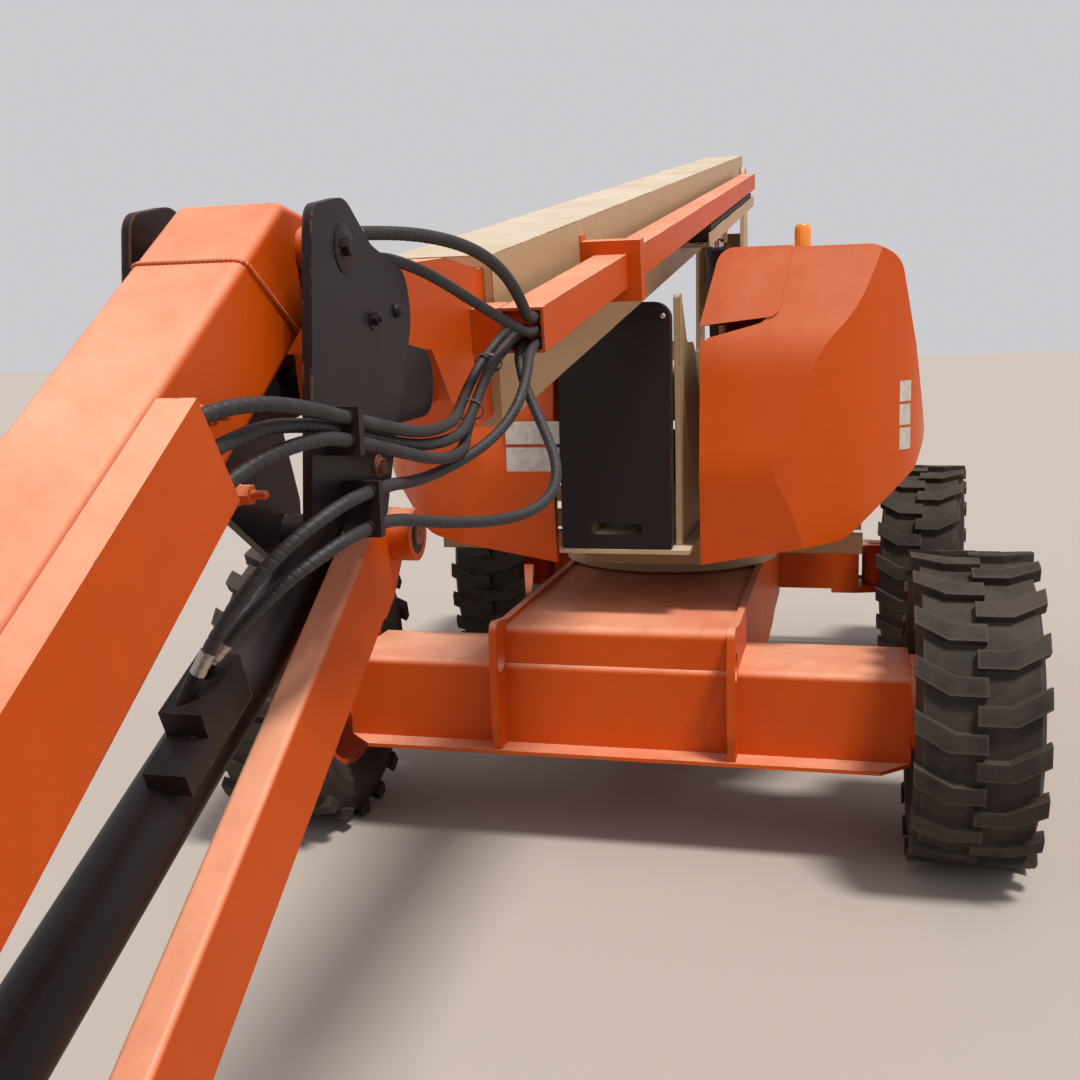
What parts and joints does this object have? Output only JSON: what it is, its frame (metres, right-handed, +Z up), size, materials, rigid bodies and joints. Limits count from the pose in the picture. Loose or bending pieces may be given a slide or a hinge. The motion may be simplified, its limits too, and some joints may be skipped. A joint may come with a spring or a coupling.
{
  "type": "articulating boom lift",
  "caption": "Wheeled articulating aerial work platform: telescoping tower and main boom, parallelogram jib, rotating railed platform, steered wheels with chevron lugs.",
  "frame": {"origin": "middle of the machine's footprint box, on the ground", "axes": "+X towards the platform end, +Y to the machine's left, +Z up"},
  "size_m": [8.553, 2.6092, 2.5843],
  "materials": {
    "orange_paint": "semi-gloss orange machine paint",
    "dark_paint": "satin brown-black paint",
    "cream_paint": "semi-gloss cream machine paint",
    "cast_weight": "painted cast iron",
    "hood_skin": "gloss orange hood skin",
    "amber_lens": "amber lens",
    "black_plastic": "black plastic",
    "tread_rubber": "dusty black tread rubber",
    "rod_chrome": "chromed rod",
    "hose_rubber": "black hose cover"
  },
  "bodies": {
    "chassis": {"chassis_frame": "orange_paint", "drive_axle": "orange_paint", "steer_axle": "orange_paint"},
    "knuckle_left": {"knuckle_left": "orange_paint"},
    "knuckle_right": {"knuckle_right": "orange_paint"},
    "tie_rod": {"tie_rod": "dark_paint"},
    "turntable": {"turntable_frame": "cream_paint", "hood_arms": "cream_paint", "hood_posts": "cream_paint", "counterweight": "cast_weight", "engine": "cast_weight", "front_cover": "dark_paint"},
    "hood_left": {"hood_left": "hood_skin", "hood_flap": "hood_skin", "beacon": "amber_lens"},
    "hood_right": {"hood_right": "hood_skin"},
    "tower_base": {"tower_base": "cream_paint"},
    "tower_fly": {"tower_fly": "orange_paint"},
    "upright": {"upright": "cream_paint"},
    "tower_cylinder_barrel": {"tower_cylinder_barrel": "dark_paint"},
    "tower_cylinder_rod": {"tower_cylinder_rod": "rod_chrome"},
    "main_boom": {"main_boom_base": "cream_paint", "tube_collar": "orange_paint", "power_track": "black_plastic"},
    "fly": {"fly_boom": "orange_paint", "track_tube": "orange_paint", "hose_high": "hose_rubber", "hose_upper": "hose_rubber", "hose_inner": "hose_rubber", "hose_middle": "hose_rubber", "hose_outer": "hose_rubber", "hose_low": "hose_rubber", "hose_drop": "hose_rubber"},
    "main_cylinder_barrel": {"main_cylinder_barrel": "dark_paint"},
    "main_cylinder_rod": {"main_cylinder_rod": "rod_chrome"},
    "jib_bracket": {"jib_bracket": "dark_paint"},
    "jib": {"jib_beam": "orange_paint", "hose_box": "orange_paint", "hose_inner_jib": "hose_rubber", "hose_middle_jib": "hose_rubber", "hose_outer_jib": "hose_rubber"},
    "jib_link": {"jib_link": "orange_paint"},
    "jib_cylinder_barrel": {"jib_cylinder_barrel": "dark_paint", "hose_low_valve": "hose_rubber", "hose_drop_valve": "hose_rubber"},
    "jib_cylinder_rod": {"jib_cylinder_rod": "rod_chrome"},
    "platform_support": {"platform_support": "dark_paint"},
    "platform": {"platform_yoke": "dark_paint", "platform_floor": "dark_paint", "platform_rails": "cream_paint", "control_box": "black_plastic"},
    "gate": {"gate": "cream_paint"},
    "wheel_front_left": {"tyre_front_left": "tread_rubber", "rim_front_left": "orange_paint"},
    "wheel_front_right": {"tyre_front_right": "tread_rubber", "rim_front_right": "orange_paint"},
    "wheel_rear_left": {"tyre_rear_left": "tread_rubber", "rim_rear_left": "orange_paint"},
    "wheel_rear_right": {"tyre_rear_right": "tread_rubber", "rim_rear_right": "orange_paint"}
  },
  "joints": [
    {"name": "steer_left", "type": "hinge", "parent": "chassis", "child": "knuckle_left", "pos_m": [-3.15347, 0.84, 0.475], "axis": [0, 0, 1], "range_deg": [-28, 28]},
    {"name": "steer_right", "type": "hinge", "parent": "chassis", "child": "knuckle_right", "pos_m": [-3.15347, -0.84, 0.475], "axis": [0, 0, 1], "range_deg": [-28, 28]},
    {"name": "tie_rod_pivot", "type": "hinge", "parent": "knuckle_left", "child": "tie_rod", "pos_m": [-3.34205, 0.86316, 0.34], "axis": [0, 0, 1], "range_deg": [-28, 28]},
    {"name": "spin_front_left", "type": "hinge", "parent": "chassis", "child": "wheel_front_left", "pos_m": [-0.75347, 1.0725, 0.475], "axis": [0, 1, 0], "continuous": true},
    {"name": "spin_front_right", "type": "hinge", "parent": "chassis", "child": "wheel_front_right", "pos_m": [-0.75347, -1.0725, 0.475], "axis": [0, 1, 0], "continuous": true},
    {"name": "spin_rear_left", "type": "hinge", "parent": "knuckle_left", "child": "wheel_rear_left", "pos_m": [-3.12513, 1.07077, 0.475], "axis": [0.1219, 0.9925, 0], "continuous": true},
    {"name": "spin_rear_right", "type": "hinge", "parent": "knuckle_right", "child": "wheel_rear_right", "pos_m": [-3.12513, -1.07077, 0.475], "axis": [-0.1219, 0.9925, 0], "continuous": true},
    {"name": "swing", "type": "hinge", "parent": "chassis", "child": "turntable", "pos_m": [-1.95347, 0, 0.705], "axis": [0, 0, 1], "continuous": true},
    {"name": "hood_left_hinge", "type": "hinge", "parent": "turntable", "child": "hood_left", "pos_m": [-2.05347, 0.292, 1.85], "axis": [1, 0, 0], "range_deg": [0, 60]},
    {"name": "hood_right_hinge", "type": "hinge", "parent": "turntable", "child": "hood_right", "pos_m": [-2.05347, -0.292, 1.85], "axis": [-1, 0, 0], "range_deg": [0, 60]},
    {"name": "tower_lift", "type": "hinge", "parent": "turntable", "child": "tower_base", "pos_m": [-1.17347, 0, 1.46], "axis": [0, 1, 0], "range_deg": [0, 68]},
    {"name": "tower_extend", "type": "slide", "parent": "tower_base", "child": "tower_fly", "axis": [-0.9971, 0, -0.0758], "range_m": [0, 1.751]},
    {"name": "upright_level", "type": "hinge", "parent": "tower_fly", "child": "upright", "pos_m": [-3.92552, 0, 1.25066], "axis": [0, 1, 0], "range_deg": [-68.01, 0]},
    {"name": "tower_cylinder_pivot", "type": "hinge", "parent": "turntable", "child": "tower_cylinder_barrel", "pos_m": [-1.25347, 0, 1.012], "axis": [0, 1, 0], "range_deg": [-0.5, 56.23]},
    {"name": "tower_cylinder_slide", "type": "slide", "parent": "tower_cylinder_barrel", "child": "tower_cylinder_rod", "axis": [-0.9808, 0, 0.1952], "range_m": [-0.001, 0.47859]},
    {"name": "main_lift", "type": "hinge", "parent": "upright", "child": "main_boom", "pos_m": [-4.10347, 0, 2.42], "axis": [0, -1, 0], "range_deg": [0, 80]},
    {"name": "fly_extend", "type": "slide", "parent": "main_boom", "child": "fly", "axis": [0.9882, 0, -0.1533], "range_m": [0, 3.8]},
    {"name": "bracket_level", "type": "hinge", "parent": "fly", "child": "jib_bracket", "pos_m": [1.39619, 0, 1.56968], "axis": [0, -1, 0], "range_deg": [-80.01, 0], "deforming": ["hose_high", "hose_upper", "hose_inner", "hose_middle", "hose_outer", "hose_low", "hose_drop"]},
    {"name": "main_cylinder_pivot", "type": "hinge", "parent": "upright", "child": "main_cylinder_barrel", "pos_m": [-4.02347, 0, 1.45], "axis": [0, -1, 0], "range_deg": [-0.5, 3.56]},
    {"name": "main_cylinder_slide", "type": "slide", "parent": "main_cylinder_barrel", "child": "main_cylinder_rod", "axis": [0.2937, 0, 0.9559], "range_m": [-0.001, 0.51526]},
    {"name": "jib_lift", "type": "hinge", "parent": "jib_bracket", "child": "jib", "pos_m": [1.69653, 0, 1.745], "axis": [0, -1, 0], "range_deg": [-21.2, 58.8], "deforming": ["hose_inner_jib", "hose_middle_jib", "hose_outer_jib"]},
    {"name": "jib_link_pivot", "type": "hinge", "parent": "jib_bracket", "child": "jib_link", "pos_m": [1.44653, 0, 1.357], "axis": [0, -1, 0], "range_deg": [-21.2, 58.8]},
    {"name": "platform_level", "type": "hinge", "parent": "jib", "child": "platform_support", "pos_m": [2.96794, 0, 0.89387], "axis": [0, -1, 0], "range_deg": [-58.8, 21.2]},
    {"name": "jib_cylinder_pivot", "type": "hinge", "parent": "jib_bracket", "child": "jib_cylinder_barrel", "pos_m": [1.44653, -0.03, 1.357], "axis": [0, -1, 0], "range_deg": [-18.51, 50.97], "deforming": ["hose_low_valve", "hose_drop_valve"]},
    {"name": "jib_cylinder_slide", "type": "slide", "parent": "jib_cylinder_barrel", "child": "jib_cylinder_rod", "axis": [0.9089, 0, -0.417], "range_m": [-0.15029, 0.41508]},
    {"name": "platform_rotate", "type": "hinge", "parent": "platform_support", "child": "platform", "pos_m": [3.13153, 0, 0.69], "axis": [0, 0, 1], "range_deg": [-90, 90]},
    {"name": "gate_hinge", "type": "hinge", "parent": "platform", "child": "gate", "pos_m": [3.52283, -1.196, 0.8], "axis": [0, 0, 1], "range_deg": [0, 85]}
  ],
  "couplings": [
    {"joint": "steer_right", "follows": "steer_left", "ratio": 1},
    {"joint": "tie_rod_pivot", "follows": "steer_left", "ratio": -1},
    {"joint": "tower_extend", "follows": "tower_lift", "m_per_rad": 1.4745},
    {"joint": "upright_level", "follows": "tower_lift", "ratio": -1},
    {"joint": "tower_cylinder_pivot", "follows": "tower_lift", "ratio": 0.81949},
    {"joint": "tower_cylinder_slide", "follows": "tower_lift", "m_per_rad": 0.40241},
    {"joint": "bracket_level", "follows": "main_lift", "ratio": -1},
    {"joint": "main_cylinder_pivot", "follows": "main_lift", "ratio": 0.038243},
    {"joint": "main_cylinder_slide", "follows": "main_lift", "m_per_rad": 0.36831},
    {"joint": "jib_link_pivot", "follows": "jib_lift", "ratio": 1},
    {"joint": "platform_level", "follows": "jib_lift", "ratio": -1},
    {"joint": "jib_cylinder_pivot", "follows": "jib_lift", "ratio": 0.86351},
    {"joint": "jib_cylinder_slide", "follows": "jib_lift", "m_per_rad": 0.40349}
  ]
}
